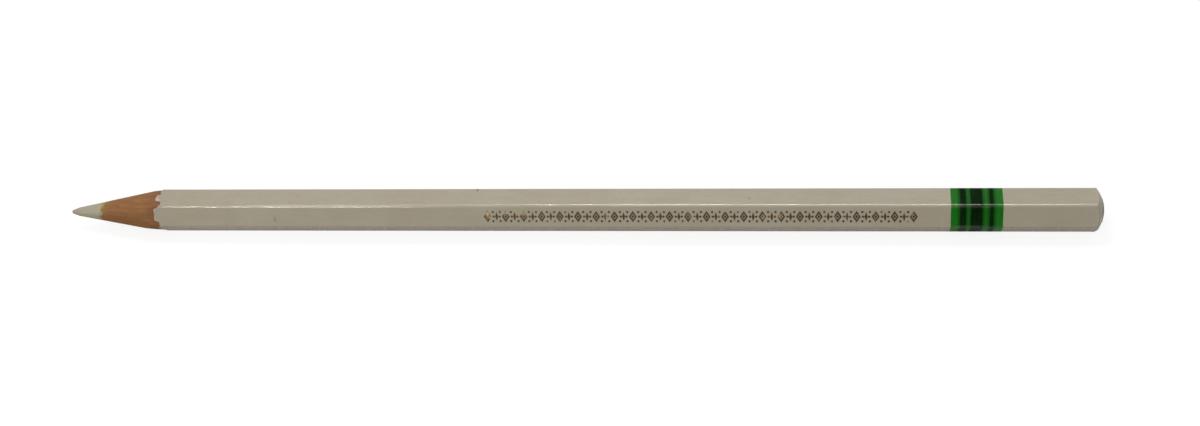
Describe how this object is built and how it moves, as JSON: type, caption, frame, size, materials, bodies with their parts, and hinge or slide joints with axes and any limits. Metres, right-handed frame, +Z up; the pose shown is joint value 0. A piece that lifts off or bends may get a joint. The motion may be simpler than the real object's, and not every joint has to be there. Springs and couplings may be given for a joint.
{
  "type": "marking pencil",
  "caption": "Hexagonal wood-cased marking pencil with a white waxy core, a sharpened point, a printed green and black band and a domed, dipped end.",
  "frame": {"origin": "middle of the pencil's length, on the plane that it rests on", "axes": "+X along the pencil from the point to the dipped end, +Z up out of the upper flat, +Y across"},
  "size_m": [0.175, 0.0074, 0.0066],
  "materials": {
    "core_wax": "matt, slightly waxy",
    "dried_glue": "thin dried film",
    "casing_wood": "bare, cut across the grain at the point",
    "pale_primer": "matt undercoat",
    "white_lacquer": "gloss lacquer",
    "green_ink": "printed, gloss",
    "black_ink": "printed, gloss",
    "white_dip": "dipped, gloss",
    "dark_dip": "dipped, satin"
  },
  "bodies": {
    "root": {"colour_core": "core_wax", "glue_film": "dried_glue", "upper_slat": "casing_wood", "lower_slat": "casing_wood", "primer_coat": "pale_primer", "lacquer_coat": "white_lacquer", "green_band": "green_ink", "narrow_black_stripe_tip_side": "black_ink", "wide_black_stripe": "black_ink", "narrow_black_stripe_cap_side": "black_ink", "end_dip": "white_dip", "end_spot": "dark_dip"}
  },
  "joints": []
}
